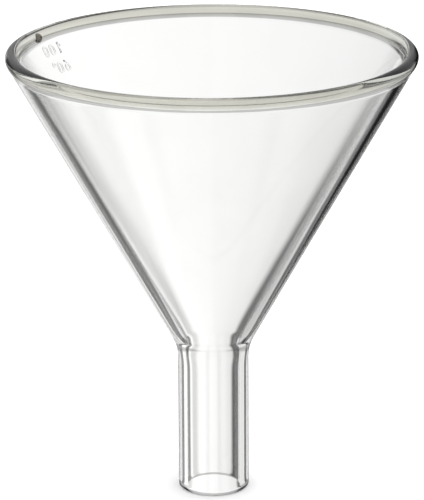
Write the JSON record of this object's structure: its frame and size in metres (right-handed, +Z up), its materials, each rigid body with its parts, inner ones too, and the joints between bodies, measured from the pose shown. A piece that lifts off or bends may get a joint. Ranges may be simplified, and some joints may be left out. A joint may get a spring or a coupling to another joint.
{
  "type": "powder funnel",
  "caption": "Heavy clear glass powder funnel: a 60 degree conical bowl with a beaded rim, sealed to a short, wide, straight stem with a fire-polished end.",
  "frame": {"origin": "centre of the stem's lower end, on the funnel's axis and at its lowest level", "axes": "+Z up along the funnel's axis, from the stem towards the mouth of the bowl; the moulded marks are on the -X, +Y side"},
  "size_m": [0.108, 0.108, 0.1216],
  "materials": {
    "clear_glass": "clear, fire-polished"
  },
  "bodies": {
    "root": {"rim_bead": "clear_glass", "bowl_wall": "clear_glass", "throat_seal": "clear_glass", "stem_tube": "clear_glass", "angle_mark": "clear_glass", "size_mark": "clear_glass", "shear_knot": "clear_glass", "seam_tick": "clear_glass"}
  },
  "joints": []
}
